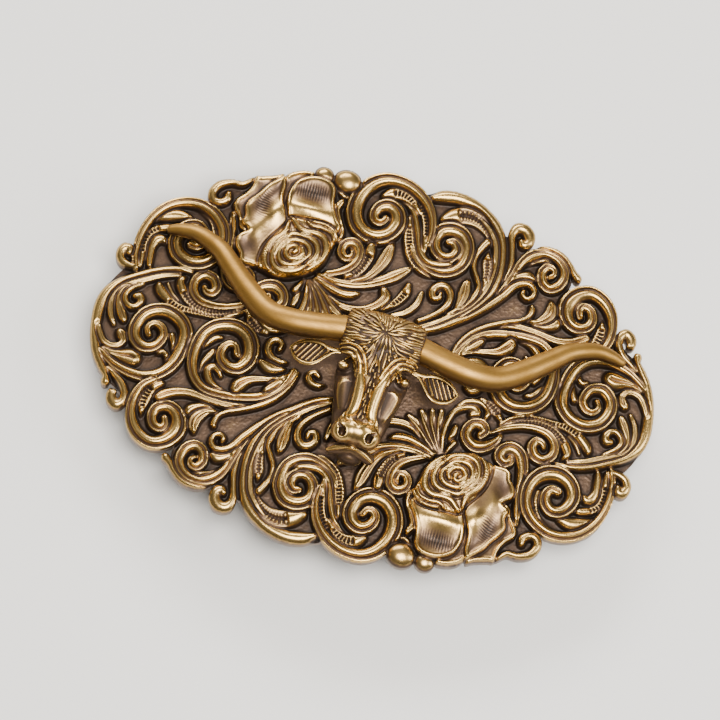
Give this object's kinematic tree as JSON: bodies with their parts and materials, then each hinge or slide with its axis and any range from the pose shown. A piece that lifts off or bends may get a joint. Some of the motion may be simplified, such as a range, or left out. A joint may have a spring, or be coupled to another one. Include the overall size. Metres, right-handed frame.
{
  "type": "belt buckle",
  "caption": "Oval western belt buckle: a domed plate of cast scrolls and roses under a long-horned cattle head, with a swinging belt loop and a fixed hook behind.",
  "frame": {"origin": "under the middle of the plate, on the surface that the buckle lies on", "axes": "+X along the plate towards the belt loop, +Y up the plate as the head stands, +Z out of the face"},
  "size_m": [0.0968, 0.0682, 0.0234],
  "materials": {
    "antique_brass": "antiqued, dark in the recesses and rubbed bright on the ridges",
    "satin_brass": "satin",
    "plain_brass": "antiqued, plain",
    "rivet_brass": "antiqued, hammered",
    "wire": "antiqued, drawn wire",
    "screw_steel": "dark, slotted"
  },
  "bodies": {
    "plate": {"scroll_plate": "antique_brass", "longhorn_head": "antique_brass", "left_horn": "satin_brass", "right_horn": "satin_brass", "upper_head_screw": "screw_steel", "lower_head_screw": "screw_steel", "upper_ear": "plain_brass", "upper_ear_inner_rivet": "rivet_brass", "upper_ear_outer_rivet": "rivet_brass", "lower_ear": "plain_brass", "lower_ear_inner_rivet": "rivet_brass", "lower_ear_outer_rivet": "rivet_brass", "hook_base": "plain_brass", "upper_hook_rivet": "rivet_brass", "lower_hook_rivet": "rivet_brass", "hook_prong": "wire"},
    "bail": {"belt_loop": "wire"}
  },
  "joints": [
    {"name": "bail_swing", "type": "hinge", "parent": "plate", "child": "bail", "pos_m": [0.02, 0, 0.0029], "axis": [0, 1, 0], "range_deg": [-178, 18]}
  ]
}
